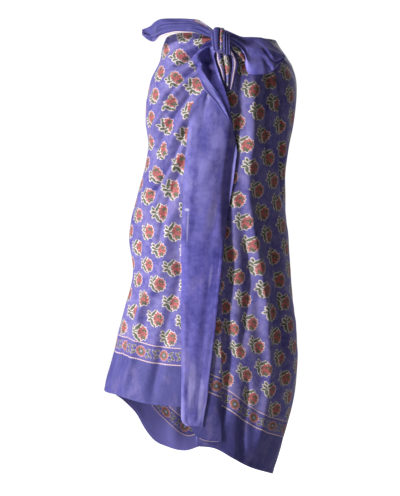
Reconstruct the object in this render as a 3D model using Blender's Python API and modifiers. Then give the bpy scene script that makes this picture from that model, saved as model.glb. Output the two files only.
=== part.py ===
"""A tied sarong: one printed cotton cloth wrapped round the hips and knotted at the front.

Metres, +Z up. The origin is the centre of the waist, where the wearer holds the cloth up.
The front faces -Y, and +X is the viewer's right. "drop" is the distance below the waist, and
"turn" is the angle round the body from the front centre, towards the viewer's left.
"""

import bmesh
import bpy
import numpy as np
from mathutils import Vector

CLOTH = 0.0015  # the wall that stands for one thickness of cloth
GAP = 0.0004  # between pieces that touch
KNOT_HALF = (0.0245, 0.0200, 0.0355)  # half the knot's width, depth and height
KNOT_CENTRE = (0.0010, -0.0065)  # across and up; its depth follows the wrap
KNOT_REST_DROP = 0.0300  # where the knot's back rests on the wrap
KNOT_SQUARENESS = 0.7  # 1 is an egg shape, 0 a box
KNOT_RIDGES = 5
KNOT_RIDGE_RISE = 0.0012

# How far the outer face of each layer stands in front of the wrap's outer face.
PLEAT_LIFT = 0.0034
GATHER_LIFT = 0.0062
BAND_LIFT = 0.0058
TURN_LIFT = 0.0100
FLAP_LIFT = 0.0085

# How far the layers bulge, roll or crease on top of that.
KNOT_REACH = 0.0100  # a strip's start, which comes out of the middle of the knot
BAND_FOLD_BACK = 0.0030
BAND_CREASE = 0.0012
BAND_SWELL = 0.0030
TURN_ROLL = 0.0060
TURN_SWELL = 0.0040
TURN_REACH_SHARE = 0.4
FLAP_BULGE = 0.0060
GATHER_BULGE = 0.0040
GATHER_FLATTENS = 0.8
TIE_BELLY = 0.0080
TIE_BELLY_ENDS = 0.65  # the share of the tie end's width that bulges

# The worn cloth's outline: drop, left and right edge seen from the front, half its depth.
SECTIONS = (
    (-0.020, -0.131, 0.131, 0.098),
    (0.000, -0.140, 0.140, 0.103),
    (0.037, -0.147, 0.167, 0.112),
    (0.081, -0.167, 0.184, 0.120),
    (0.125, -0.179, 0.186, 0.126),
    (0.184, -0.184, 0.179, 0.130),
    (0.243, -0.176, 0.169, 0.130),
    (0.301, -0.186, 0.159, 0.130),
    (0.375, -0.206, 0.157, 0.130),
    (0.463, -0.223, 0.164, 0.132),
    (0.566, -0.213, 0.171, 0.135),
    (0.639, -0.233, 0.179, 0.138),
    (0.713, -0.252, 0.186, 0.142),
    (0.772, -0.267, 0.189, 0.145),
    (0.831, -0.282, 0.184, 0.147),
    (0.875, -0.285, 0.176, 0.147),
    (0.933, -0.282, 0.162, 0.146),
    (0.990, -0.273, 0.145, 0.144),
    (1.060, -0.256, 0.124, 0.140),
)

# The lower hem: turn in degrees, drop.
HEM = (
    (5, 0.875), (33, 0.868), (52, 0.855), (70, 0.848), (90, 0.846), (108, 0.855), (123, 0.872),
    (132, 0.893), (139, 0.918), (144, 0.949), (150, 0.977), (161, 0.999), (174, 1.009),
    (186, 0.996), (200, 0.995), (230, 1.018), (255, 1.038), (274, 1.047), (297, 1.038),
    (320, 1.019), (333, 0.999), (348, 0.972), (359, 0.967),
)

# The upper edge: turn in degrees, drop.
TOP_EDGE = (
    (0, -0.014), (20, -0.022), (58, -0.021), (80, -0.016), (110, -0.006), (150, -0.001),
    (195, -0.004), (240, -0.003), (280, -0.009), (320, -0.009), (345, -0.007), (360, -0.006),
)

# The cloth's two short edges where the front stays open: drop, left and right panel's edge.
OPENING = (
    (-0.020, -0.012, -0.007), (0.006, -0.013, -0.008), (0.060, -0.020, -0.010),
    (0.121, -0.034, -0.014), (0.216, -0.062, -0.019), (0.359, -0.082, -0.028), (0.526, -0.087, -0.043),
    (0.621, -0.088, -0.049), (0.871, -0.092, -0.058), (1.000, -0.094, -0.061),
)

# The largest folds: side, where each starts and ends across and down, half width, rise.
FOLDS = (
    ("front", -0.030, 0.000, -0.130, 0.063, 0.012, 0.006),
    ("front", -0.040, 0.035, -0.144, 0.118, 0.012, -0.005),
    ("front", -0.060, 0.060, -0.163, 0.211, 0.014, 0.005),
    ("front", -0.080, 0.180, -0.165, 0.330, 0.013, -0.005),
    ("front", -0.101, 0.394, -0.206, 0.693, 0.018, 0.004),
    ("front", -0.125, 0.502, -0.175, 0.859, 0.015, -0.003),
    ("front", -0.168, 0.573, -0.235, 0.855, 0.016, 0.003),
    ("front", 0.050, 0.132, 0.024, 0.880, 0.015, -0.005),
    ("front", 0.078, 0.108, 0.108, 0.650, 0.016, 0.005),
    ("front", 0.104, 0.621, 0.085, 0.985, 0.016, 0.004),
    ("front", 0.121, 0.044, 0.147, 0.371, 0.013, -0.005),
    ("front", 0.125, 0.418, 0.149, 0.836, 0.014, -0.004),
    ("front", 0.061, 0.812, 0.046, 1.003, 0.013, -0.004),
    ("back", -0.095, 0.020, -0.150, 0.420, 0.016, -0.006),
    ("back", -0.060, 0.060, -0.110, 0.560, 0.018, 0.005),
    ("back", -0.030, 0.010, -0.050, 0.480, 0.015, -0.006),
    ("back", 0.010, 0.120, 0.000, 0.760, 0.020, 0.006),
    ("back", 0.045, 0.020, 0.060, 0.520, 0.014, -0.005),
    ("back", 0.085, 0.080, 0.105, 0.640, 0.017, 0.005),
    ("back", 0.115, 0.030, 0.135, 0.380, 0.014, -0.005),
    ("back", -0.160, 0.480, -0.205, 0.850, 0.018, -0.006),
    ("back", -0.080, 0.620, -0.110, 0.960, 0.018, -0.005),
    ("back", 0.040, 0.560, 0.030, 0.990, 0.018, -0.006),
    ("back", 0.105, 0.640, 0.085, 1.010, 0.017, 0.005),
)

# Strips lie on the wrap. A row gives one end, then the other: across and drop, viewer's left first.
BAND = (
    (-0.030, 0.112, -0.002, 0.112), (-0.0597, 0.1454, 0.0128, 0.1454), (-0.0728, 0.1763, 0.0223, 0.1763),
    (-0.0768, 0.2072, 0.0282, 0.2072), (-0.0811, 0.2571, 0.0379, 0.2571), (-0.0853, 0.2975, 0.0341, 0.2975),
    (-0.0889, 0.3521, 0.0270, 0.3521), (-0.0918, 0.4305, 0.0139, 0.4305), (-0.0941, 0.5255, 0.0025, 0.5255),
    (-0.0941, 0.6371, -0.0086, 0.6371), (-0.0941, 0.7322, -0.0193, 0.7322), (-0.0941, 0.8011, -0.0276, 0.8011),
    (-0.0946, 0.8557, -0.0336, 0.8557), (-0.0950, 0.8960, -0.0430, 0.8930), (-0.0900, 0.9090, -0.0470, 0.9060),
    (-0.0760, 0.9200, -0.0570, 0.9190),
)
TURN_OVER = (
    (-0.0110, -0.0020, -0.0070, 0.0200), (-0.0400, 0.0110, -0.0150, 0.0370), (-0.0610, 0.0330, -0.0130, 0.0500),
    (-0.0590, 0.0620, -0.0080, 0.0680), (-0.0500, 0.0901, -0.0004, 0.0920), (-0.0371, 0.1207, 0.0091, 0.1207),
    (-0.0101, 0.1546, 0.0186, 0.1546), (0.0103, 0.1850, 0.0228, 0.1850), (0.0225, 0.2037, 0.0278, 0.2037),
)
PLEAT = (
    (-0.0100, 0.0220, 0.0110, 0.0220), (-0.0230, 0.0600, 0.0230, 0.0600),
    (-0.0330, 0.1215, 0.0150, 0.1215), (-0.0360, 0.2300, 0.0080, 0.2300),
    (-0.0480, 0.4300, -0.0010, 0.4300), (-0.0620, 0.6206, 0.0009, 0.6206), (-0.0680, 0.8107, 0.0009, 0.8107),
    (-0.0700, 0.9140, 0.0009, 0.9450), (-0.0690, 0.9260, 0.0009, 0.9560),
)
GATHERS = (
    (
        (-0.0100, 0.0150, -0.0020, 0.0150), (-0.0090, 0.0480, 0.0030, 0.0480),
        (0.0000, 0.0750, 0.0080, 0.0750), (0.0060, 0.1020, 0.0100, 0.1020),
    ),
    (
        (0.0040, 0.0180, 0.0110, 0.0180), (0.0095, 0.0600, 0.0220, 0.0600),
        (0.0130, 0.0900, 0.0195, 0.0900), (0.0140, 0.1120, 0.0175, 0.1120),
    ),
    (
        (0.0120, 0.0120, 0.0180, 0.0120), (0.0265, 0.0500, 0.0400, 0.0500),
        (0.0235, 0.0900, 0.0345, 0.0900), (0.0205, 0.1200, 0.0250, 0.1200),
    ),
)
FLAP = (
    (0.0120, -0.0070, 0.0120, 0.0060), (0.0350, -0.0095, 0.0330, 0.0250), (0.0500, -0.0090, 0.0440, 0.0520),
    (0.0700, -0.0088, 0.0600, 0.0790), (0.0950, -0.0070, 0.0880, 0.0830), (0.1170, 0.0090, 0.1120, 0.0760),
    (0.1330, 0.0240, 0.1270, 0.0600), (0.1405, 0.0340, 0.1395, 0.0420),
)
ROLL = (
    (0.0150, 0.0040, 0.0150, 0.0140), (0.0320, 0.0130, 0.0260, 0.0230), (0.0440, 0.0260, 0.0360, 0.0340),
    (0.0500, 0.0380, 0.0440, 0.0430),
)

# The tie end that stands out to the viewer's left: upper edge across and up, then the lower
# edge across and up, and the depth of both.
TIE_LEFT = (
    (-0.0100, 0.0160, -0.0100, -0.0020, -0.1290), (-0.0490, 0.0440, -0.0562, 0.0150, -0.1235),
    (-0.0777, 0.0500, -0.0873, 0.0170, -0.1150), (-0.1089, 0.0530, -0.1180, 0.0170, -0.0990),
    (-0.1424, 0.0545, -0.1420, 0.0110, -0.0780), (-0.1592, 0.0490, -0.1620, 0.0025, -0.0640),
    (-0.1710, 0.0395, -0.1760, 0.0070, -0.0560), (-0.1905, 0.0325, -0.1905, 0.0200, -0.0480),
)

BLUE = (0.118, 0.105, 0.490)
PRINTED_BLUE = (0.205, 0.170, 0.560)
REVERSE_BLUE = (0.090, 0.085, 0.400)


def smooth(at, places, values):
    """A smooth curve through a table's rows, read at the given places."""
    places = np.asarray(places, float)
    values = np.asarray(values, float)
    at = np.clip(at, places[0], places[-1])
    row = np.clip(np.searchsorted(places, at, side="right") - 1, 0, len(places) - 2)
    step = places[row + 1] - places[row]
    p = (at - places[row]) / step
    slope = np.gradient(values, places)
    rise = values[row + 1] - values[row]
    ease = p * p * (3 - 2 * p)
    return (
        values[row] + rise * ease
        + step * p * (1 - p) * ((1 - p) * slope[row] - p * slope[row + 1])
    )


def column(table, number):
    return [row[number] for row in table]


def section(drop):
    """The centre, half width and half depth of the worn cloth at a drop."""
    left = smooth(drop, column(SECTIONS, 0), column(SECTIONS, 1))
    right = smooth(drop, column(SECTIONS, 0), column(SECTIONS, 2))
    depth = smooth(drop, column(SECTIONS, 0), column(SECTIONS, 3))
    return (left + right) / 2, (right - left) / 2, depth


def turn_at(across, drop):
    """The turn of a place on the front, negative on the viewer's right."""
    centre, half_width, _ = section(drop)
    return np.arcsin(np.clip((centre - across) / half_width, -1, 1))


def fold_rise(turn, drop):
    """How far the folds push the cloth out from its section."""
    radius = section(drop)[1]
    rise = np.zeros_like(turn)
    for side, x0, drop0, x1, drop1, half_width, height in FOLDS:
        first, last = turn_at(x0, drop0), turn_at(x1, drop1)
        if side == "back":
            first, last = np.pi - first, np.pi - last
        along = (drop - drop0) / (drop1 - drop0)
        axis = first + (last - first) * along
        lean = (last - first) * radius / (drop1 - drop0)
        away = (turn - axis + np.pi) % (2 * np.pi) - np.pi
        away = away * radius / np.sqrt(1 + lean * lean)
        fade = np.clip(np.minimum(along, 1 - along) / 0.2 + 0.35, 0, 1)
        rise += height * fade * np.exp(-((away / half_width) ** 2))
    return rise


def on_wrap(turn, drop, lift):
    """A point of the wrap's outer face, or one that a lift moves out from it."""
    centre, half_width, depth = section(drop)
    out_x, out_y = -depth * np.sin(turn), -half_width * np.cos(turn)
    length = np.hypot(out_x, out_y)
    across = centre - half_width * np.sin(turn) + lift * out_x / length
    back = -depth * np.cos(turn) + lift * out_y / length
    return np.stack([across, back, -drop], axis=-1)


def wrap_place(s, t):
    """The wrap: s runs round the body from the left panel's edge, t from the top to the hem."""
    first_drop = t * HEM[0][1]
    last_drop = t * HEM[-1][1]
    first = turn_at(smooth(first_drop, column(OPENING, 0), column(OPENING, 1)), first_drop)
    last = turn_at(smooth(last_drop, column(OPENING, 0), column(OPENING, 2)), last_drop)
    turn = first + (last + 2 * np.pi - first) * s
    top = smooth(np.degrees(turn), column(TOP_EDGE, 0), column(TOP_EDGE, 1))
    hem = smooth(np.degrees(turn), column(HEM, 0), column(HEM, 1))
    drop = top + (hem - top) * t
    return on_wrap(turn, drop, fold_rise(turn, drop))


def strip_place(rows, lift_at):
    """A strip of cloth on the front of the wrap: s runs across it, t down its rows."""
    steps = np.linspace(0, 1, len(rows))

    def place(s, t):
        x0, drop0, x1, drop1 = [smooth(t, steps, column(rows, i)) for i in range(4)]
        across = x0 + (x1 - x0) * s
        drop = drop0 + (drop1 - drop0) * s
        turn = turn_at(across, drop)
        return on_wrap(turn, drop, fold_rise(turn, drop) + lift_at(s, t))

    return place


def tie_place(s, t):
    """The free tie end: s runs down from its upper edge, t out from the knot."""
    steps = np.linspace(0, 1, len(TIE_LEFT))
    x0, up0, x1, up1, depth = [smooth(t, steps, column(TIE_LEFT, i)) for i in range(5)]
    belly = np.sin(np.pi * np.clip(s / TIE_BELLY_ENDS, 0, 1)) * np.sin(np.pi * np.clip(t, 0.1, 0.9))
    depth = depth - TIE_BELLY * belly
    return np.stack([x0 + (x1 - x0) * s, depth, up0 + (up1 - up0) * s], axis=-1)


def material(name, colour, roughness=0.85):
    made = bpy.data.materials.new(name)
    made.use_nodes = True
    surface = made.node_tree.nodes["Principled BSDF"]
    surface.inputs["Base Color"].default_value = (*colour, 1.0)
    surface.inputs["Roughness"].default_value = roughness
    surface.inputs["Metallic"].default_value = 0.0
    return made


def new_object(name, mesh, colour, collection):
    made = bpy.data.objects.new(name, mesh)
    collection.objects.link(made)
    made.data.materials.append(material(name + "_cloth", colour))
    made.data.shade_smooth()
    return made


def sheet(name, place, cells, colour, collection, flip=False, centred=False):
    """A grid moved onto a surface, then given the thickness of the cloth."""
    grid = bmesh.new()
    bmesh.ops.create_grid(grid, x_segments=cells[0], y_segments=cells[1], size=0.5)
    s = np.array([point.co.x + 0.5 for point in grid.verts])
    t = np.array([0.5 - point.co.y for point in grid.verts])
    for point, moved in zip(grid.verts, place(s, t)):
        point.co = moved
    if flip:
        bmesh.ops.reverse_faces(grid, faces=grid.faces)
    mesh = bpy.data.meshes.new(name)
    grid.to_mesh(mesh)
    grid.free()
    made = new_object(name, mesh, colour, collection)
    wall = made.modifiers.new("Cloth wall", "SOLIDIFY")
    wall.thickness = CLOTH
    wall.offset = 0.0 if centred else -1.0
    return made


def knot_solid(name, grown, collection, colour=BLUE):
    """The knot's lump, whose upright ridges are the strands that pull through it."""
    ball = bmesh.new()
    bmesh.ops.create_uvsphere(ball, u_segments=28, v_segments=14, radius=1.0)
    back = on_wrap(turn_at(KNOT_CENTRE[0], KNOT_REST_DROP), KNOT_REST_DROP, 0.0)[1]
    middle = Vector((KNOT_CENTRE[0], back - KNOT_HALF[1] - 2 * GAP, KNOT_CENTRE[1]))
    for point in ball.verts:
        out = point.co.normalized()
        square = [np.sign(c) * abs(c) ** KNOT_SQUARENESS for c in out]
        ridge = KNOT_RIDGE_RISE * np.cos(KNOT_RIDGES * np.pi * (square[0] + 0.15)) * (out.y < 0)
        point.co = middle + Vector([(h + grown) * c for h, c in zip(KNOT_HALF, square)])
        point.co.y -= ridge * abs(out.y) * (1 - square[0] ** 2)
    mesh = bpy.data.meshes.new(name)
    ball.to_mesh(mesh)
    ball.free()
    return new_object(name, mesh, colour, collection)


def end_at_knot(piece, cutter):
    """Stops a piece a small gap short of the knot that it comes out of."""
    cut = piece.modifiers.new("Ends at the knot", "BOOLEAN")
    cut.operation = "DIFFERENCE"
    cut.object = cutter


def knot_reach(t, over=0.16):
    """How much further out a strip starts, fading over a share of its length."""
    return KNOT_REACH * np.exp(-((t / over) ** 2))


def band_lift(s, t):
    """The hanging band is folded back at its left edge and has soft creases along it."""
    fold = BAND_FOLD_BACK * np.exp(-((s / 0.06) ** 2)) * np.clip(6 * t - 0.5, 0, 1)
    creases = BAND_CREASE * np.sin(2 * np.pi * (2.4 * s + 0.3 * t)) * np.sin(np.pi * t)
    return BAND_LIFT - fold + creases + BAND_SWELL * np.sin(np.pi * t) ** 2


def turn_lift(s, t):
    """The turned-over strip is rolled at both edges, with a hollow between them."""
    roll = TURN_ROLL * (2 * s - 1) ** 2 * (1 - t)
    return TURN_LIFT + roll + TURN_SWELL * (1 - t) + TURN_REACH_SHARE * knot_reach(t)


def flap_lift(s, t):
    """The right tie end bulges away from the wrap in its middle."""
    return FLAP_LIFT + FLAP_BULGE * np.sin(np.pi * s) * np.sin(np.pi * t) + knot_reach(t)


def gather_lift(s, t):
    """A gather is round in section and flattens out as it runs down."""
    bulge = GATHER_BULGE * np.sin(np.pi * s) * (1 - GATHER_FLATTENS * t)
    return GATHER_LIFT + bulge + knot_reach(t)


def pleat_lift(s, t):
    """The pleat lies flat on the wrap below the knot."""
    return PLEAT_LIFT + knot_reach(t, over=0.03)


def main():
    for old in list(bpy.data.objects):
        bpy.data.objects.remove(old, do_unlink=True)
    parts = bpy.data.collections.new("Sarong")
    cutters = bpy.data.collections.new("Cutters")
    bpy.context.scene.collection.children.link(parts)
    bpy.context.scene.collection.children.link(cutters)

    knot_solid("knot", 0.0, parts)
    cutter = knot_solid("knot_cutter", GAP, cutters)
    cutter.hide_render = True
    cutter.display_type = "WIRE"

    sheet("wrap", wrap_place, (64, 30), PRINTED_BLUE, parts)
    sheet("end_border", strip_place(BAND, band_lift), (9, 32), BLUE, parts, flip=True)
    at_knot = [
        sheet("end_border_turn", strip_place(TURN_OVER, turn_lift), (8, 14), REVERSE_BLUE, parts, True),
        sheet("front_pleat", strip_place(PLEAT, pleat_lift), (5, 30), PRINTED_BLUE, parts, True),
        sheet("tie_end_right", strip_place(FLAP, flap_lift), (8, 10), BLUE, parts, True),
        sheet("tie_roll", strip_place(ROLL, gather_lift), (4, 6), PRINTED_BLUE, parts, True),
        sheet("tie_end_left", tie_place, (8, 14), BLUE, parts, centred=True),
    ]
    for number, rows in enumerate(GATHERS, 1):
        name = f"knot_gather_{number}"
        at_knot.append(sheet(name, strip_place(rows, gather_lift), (4, 7), PRINTED_BLUE, parts, True))
    for piece in at_knot:
        end_at_knot(piece, cutter)


main()
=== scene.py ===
# %% [markdown]
# # A tied sarong
# One light cotton cloth, block printed with small sprigs, is wrapped round the hips and knotted
# at the waist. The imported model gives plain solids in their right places. Each step below makes
# a finer skin for one of them: thin cloth with its folds, hems, stitches and print.

import bmesh
import bpy
import numpy as np
from mathutils import Matrix, Vector


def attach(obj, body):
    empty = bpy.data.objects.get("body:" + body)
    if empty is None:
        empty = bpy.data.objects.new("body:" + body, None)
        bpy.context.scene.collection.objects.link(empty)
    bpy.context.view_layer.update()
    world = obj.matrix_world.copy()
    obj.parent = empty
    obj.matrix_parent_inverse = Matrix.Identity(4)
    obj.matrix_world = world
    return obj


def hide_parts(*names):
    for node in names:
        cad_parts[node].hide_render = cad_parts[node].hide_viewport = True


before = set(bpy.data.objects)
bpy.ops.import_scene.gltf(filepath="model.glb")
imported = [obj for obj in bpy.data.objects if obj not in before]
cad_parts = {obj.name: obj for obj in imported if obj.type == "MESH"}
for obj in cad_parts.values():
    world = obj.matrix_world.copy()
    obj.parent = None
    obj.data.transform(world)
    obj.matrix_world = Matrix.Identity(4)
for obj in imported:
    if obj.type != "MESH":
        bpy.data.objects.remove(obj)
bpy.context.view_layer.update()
print("nodes:", ", ".join(sorted(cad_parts)))

# %% [markdown]
# ## The body that the cloth hangs on
# The worn cloth is a tube that changes slowly on its way down. It could be sculpted by hand, but
# a table of sections keeps every size in sight: how far down, the left and right edge as seen
# from the front, and half the depth. "drop" is the distance below the waist. "turn" is the angle
# round the body, from the front centre towards the viewer's left.

# %% Sizes of the worn cloth
SECTIONS = (
    (-0.020, -0.131, 0.131, 0.098),
    (0.000, -0.140, 0.140, 0.103),
    (0.037, -0.147, 0.167, 0.112),
    (0.081, -0.167, 0.184, 0.120),
    (0.125, -0.179, 0.186, 0.126),
    (0.184, -0.184, 0.179, 0.130),
    (0.243, -0.176, 0.169, 0.130),
    (0.301, -0.186, 0.159, 0.130),
    (0.375, -0.206, 0.157, 0.130),
    (0.463, -0.223, 0.164, 0.132),
    (0.566, -0.213, 0.171, 0.135),
    (0.639, -0.233, 0.179, 0.138),
    (0.713, -0.252, 0.186, 0.142),
    (0.772, -0.267, 0.189, 0.145),
    (0.831, -0.282, 0.184, 0.147),
    (0.875, -0.285, 0.176, 0.147),
    (0.933, -0.282, 0.162, 0.146),
    (0.990, -0.273, 0.145, 0.144),
    (1.060, -0.256, 0.124, 0.140),
)
HEM = (  # turn in degrees, drop
    (5, 0.875), (33, 0.868), (52, 0.855), (70, 0.848), (90, 0.846), (108, 0.855), (123, 0.872),
    (132, 0.893), (139, 0.918), (144, 0.949), (150, 0.977), (161, 0.999), (174, 1.009),
    (186, 0.996), (200, 0.995), (230, 1.018), (255, 1.038), (274, 1.047), (297, 1.038),
    (320, 1.019), (333, 0.999), (348, 0.972), (359, 0.967),
)
TOP_EDGE = (  # turn in degrees, drop
    (0, -0.014), (20, -0.022), (58, -0.021), (80, -0.016), (110, -0.006), (150, -0.001),
    (195, -0.004), (240, -0.003), (280, -0.009), (320, -0.009), (345, -0.007), (360, -0.006),
)
OPENING = (  # drop, the left and the right panel's edge
    (-0.020, -0.012, -0.007), (0.006, -0.013, -0.008), (0.060, -0.020, -0.010),
    (0.121, -0.034, -0.014), (0.216, -0.062, -0.019), (0.359, -0.082, -0.028),
    (0.526, -0.087, -0.043),
    (0.621, -0.088, -0.049), (0.871, -0.092, -0.058), (1.000, -0.094, -0.061),
)

# %% [markdown]
# A smooth curve through each column of a table gives any value in between. Sampling it with
# numpy moves tens of thousands of points at once, which a loop over vertices would do slowly.

# %% Read the tables smoothly
def smooth(at, places, values):
    """A smooth curve through a table's rows, read at the given places."""
    places = np.asarray(places, float)
    values = np.asarray(values, float)
    at = np.clip(at, places[0], places[-1])
    row = np.clip(np.searchsorted(places, at, side="right") - 1, 0, len(places) - 2)
    step = places[row + 1] - places[row]
    p = (at - places[row]) / step
    slope = np.gradient(values, places)
    rise = values[row + 1] - values[row]
    ease = p * p * (3 - 2 * p)
    return (
        values[row] + rise * ease
        + step * p * (1 - p) * ((1 - p) * slope[row] - p * slope[row + 1])
    )


def column(table, number):
    return [row[number] for row in table]


def section(drop):
    """The centre, half width and half depth of the worn cloth at a drop."""
    left = smooth(drop, column(SECTIONS, 0), column(SECTIONS, 1))
    right = smooth(drop, column(SECTIONS, 0), column(SECTIONS, 2))
    depth = smooth(drop, column(SECTIONS, 0), column(SECTIONS, 3))
    return (left + right) / 2, (right - left) / 2, depth


def turn_at(across, drop):
    """The turn of a place on the front, negative on the viewer's right."""
    centre, half_width, _ = section(drop)
    return np.arcsin(np.clip((centre - across) / half_width, -1, 1))


def ease(at, start, end):
    """0 before start, 1 after end, and a soft S between them."""
    p = np.clip((at - start) / (end - start), 0, 1)
    return p * p * (3 - 2 * p)


print("hips:", [round(float(x), 3) for x in section(0.125)])

# %% [markdown]
# ## Folds
# Pulled up to one knot, the cloth throws long soft folds that fan out from it. Cloth simulation
# could find them, but not at the places that a given garment shows. Here each fold is a row: the
# side, its start and end, its half width, and its rise, which is negative for a trough. They
# wander a little and fade at both ends, so that no two look alike.

# %% Where the folds run
FOLDS = (  # side, across and drop at the start, then at the end, half width, rise
    ("front", -0.020, -0.008, -0.125, 0.042, 0.011, 0.0060),
    ("front", -0.018, 0.004, -0.124, 0.066, 0.0065, -0.0100),
    ("front", -0.040, 0.032, -0.135, 0.100, 0.010, 0.0050),
    ("front", -0.044, 0.052, -0.150, 0.160, 0.008, -0.0070),
    ("front", -0.049, 0.070, -0.163, 0.225, 0.010, 0.0060),
    ("front", -0.062, 0.120, -0.166, 0.275, 0.008, -0.0065),
    ("front", -0.070, 0.160, -0.168, 0.330, 0.010, 0.0050),
    ("front", -0.076, 0.200, -0.170, 0.375, 0.008, -0.0060),
    ("front", -0.085, 0.235, -0.178, 0.440, 0.010, 0.0045),
    ("front", -0.090, 0.290, -0.150, 0.520, 0.009, -0.0045),
    ("front", -0.101, 0.394, -0.206, 0.693, 0.017, 0.0055),
    ("front", -0.106, 0.502, -0.168, 0.859, 0.014, -0.0055),
    ("front", -0.168, 0.573, -0.235, 0.855, 0.014, 0.0050),
    ("front", -0.140, 0.330, -0.200, 0.560, 0.012, -0.0045),
    ("front", -0.205, 0.620, -0.262, 0.860, 0.012, -0.0045),
    ("front", 0.046, 0.132, 0.013, 0.693, 0.011, -0.0080),
    ("front", 0.015, 0.645, 0.008, 0.907, 0.012, -0.0055),
    ("front", 0.075, 0.108, 0.108, 0.693, 0.015, 0.0070),
    ("front", 0.104, 0.621, 0.085, 0.985, 0.015, 0.0060),
    ("front", 0.101, 0.053, 0.111, 0.287, 0.007, -0.0065),
    ("front", 0.123, 0.044, 0.149, 0.371, 0.008, -0.0070),
    ("front", 0.061, 0.466, 0.054, 0.740, 0.010, -0.0035),
    ("front", 0.061, 0.812, 0.046, 1.003, 0.010, -0.0060),
    ("front", 0.125, 0.418, 0.149, 0.836, 0.011, -0.0060),
    ("back", -0.095, 0.000, -0.150, 0.420, 0.012, -0.0065),
    ("back", -0.120, 0.040, -0.165, 0.300, 0.009, 0.0040),
    ("back", -0.060, 0.030, -0.110, 0.560, 0.015, 0.0055),
    ("back", -0.030, -0.010, -0.050, 0.480, 0.011, -0.0065),
    ("back", 0.010, 0.020, 0.000, 0.760, 0.018, 0.0060),
    ("back", 0.045, -0.010, 0.060, 0.520, 0.011, -0.0060),
    ("back", 0.085, 0.030, 0.105, 0.640, 0.014, 0.0055),
    ("back", 0.115, 0.000, 0.135, 0.380, 0.010, -0.0060),
    ("back", -0.160, 0.480, -0.205, 0.850, 0.016, -0.0060),
    ("back", -0.080, 0.620, -0.110, 0.990, 0.016, -0.0055),
    ("back", -0.010, 0.540, -0.030, 0.990, 0.014, 0.0035),
    ("back", 0.040, 0.560, 0.030, 1.010, 0.016, -0.0060),
    ("back", 0.105, 0.640, 0.085, 1.030, 0.015, 0.0050),
)
FOLD_WANDER = 0.0035
FOLD_DEPTH = 1.8


def fold_rise(turn, drop):
    """How far the folds push the cloth out from its section."""
    radius = section(drop)[1]
    rise = np.zeros_like(turn)
    for number, (side, x0, drop0, x1, drop1, half_width, height) in enumerate(FOLDS):
        first, last = turn_at(x0, drop0), turn_at(x1, drop1)
        if side == "back":
            first, last = np.pi - first, np.pi - last
        along = (drop - drop0) / (drop1 - drop0)
        wander = FOLD_WANDER * np.sin(2 * np.pi * (1.1 * along + 0.37 * number))
        axis = first + (last - first) * along
        lean = (last - first) * radius / (drop1 - drop0)
        away = (turn - axis + np.pi) % (2 * np.pi) - np.pi
        away = (away * radius + wander) / np.sqrt(1 + lean * lean)
        fade = np.clip(np.minimum(along, 1 - along) / 0.2 + 0.35, 0, 1)
        rise += FOLD_DEPTH * height * fade * np.exp(-((away / half_width) ** 2))
    return rise


def on_wrap(turn, drop, lift):
    """A point of the wrap's outer face, or one that a lift moves out from it."""
    centre, half_width, depth = section(drop)
    out_x, out_y = -depth * np.sin(turn), -half_width * np.cos(turn)
    length = np.hypot(out_x, out_y)
    across = centre - half_width * np.sin(turn) + lift * out_x / length
    back = -depth * np.cos(turn) + lift * out_y / length
    return np.stack([across, back, -drop], axis=-1)


print(len(FOLDS), "folds, the deepest", max(abs(row[-1]) for row in FOLDS) * 1000, "mm")

# %% [markdown]
# ## A sheet of cloth
# Every stretch of the cloth starts as a flat grid. Its points are moved onto the surface, its UV
# map holds the place on the flat cloth in metres, and a Solidify modifier gives it thickness. The
# UV map is what lets one print run true to scale over every fold.

# %% Grid, UV map and thickness
CLOTH = 0.0007


def grid_mesh(name, across, down):
    """A flat grid, and its points' numbers sorted row by row from the top left."""
    grid = bmesh.new()
    bmesh.ops.create_grid(grid, x_segments=across, y_segments=down, size=0.5)
    mesh = bpy.data.meshes.new(name)
    grid.to_mesh(mesh)
    grid.free()
    flat = np.empty(len(mesh.vertices) * 3)
    mesh.vertices.foreach_get("co", flat)
    x, y = flat[0::3].round(5), flat[1::3].round(5)
    return mesh, np.lexsort((x, -y))


def steps(cells):
    return np.linspace(0, 1, cells + 1)


def add_object(name, data):
    made = bpy.data.objects.new(name, data)
    bpy.context.scene.collection.objects.link(made)
    return made


def cloth_sheet(name, places, maps, part_of_face, flip, centred=False):
    """places is rows x columns x 3, and maps one or more UV arrays of the same shape x 2."""
    down, across = places.shape[0] - 1, places.shape[1] - 1
    mesh, order = grid_mesh(name, across, down)
    points = np.empty((len(order), 3))
    points[order] = places.reshape(-1, 3)
    mesh.vertices.foreach_set("co", points.ravel())
    back_to_grid = np.empty(len(order), int)
    back_to_grid[order] = np.arange(len(order))
    corners = np.empty(len(mesh.loops), int)
    mesh.loops.foreach_get("vertex_index", corners)
    spot = back_to_grid[corners]
    first_column = (spot.reshape(-1, 4) % (across + 1)).min(axis=1)
    which = np.repeat(part_of_face(first_column), 4)
    stacked = np.stack([m.reshape(-1, 2) for m in maps])
    mesh.uv_layers.new(name="Cloth").data.foreach_set("uv", stacked[which, spot].ravel())
    if flip:
        mesh.flip_normals()
    mesh.shade_smooth()
    made = add_object(name, mesh)
    thick = made.modifiers.new("Cloth wall", "SOLIDIFY")
    thick.thickness = CLOTH
    thick.offset = 0.0 if centred else -1.0
    return made


def one_map(first_column):
    return np.zeros_like(first_column)


def area_of(places):
    """The area of one side of a grid of points."""
    right = places[:-1, 1:] - places[:-1, :-1]
    lower = places[1:, :-1] - places[:-1, :-1]
    return float(np.linalg.norm(np.cross(right, lower), axis=-1).sum())


# %% [markdown]
# ## The wrap
# This is the long stretch that goes round the hips. Between the columns the cloth lies in two
# pressed pleats at the sides, where its grain changes direction, as it must on a body that is
# narrower above than below. The last centimetre is a turned hem, a little thicker than the rest.

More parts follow.
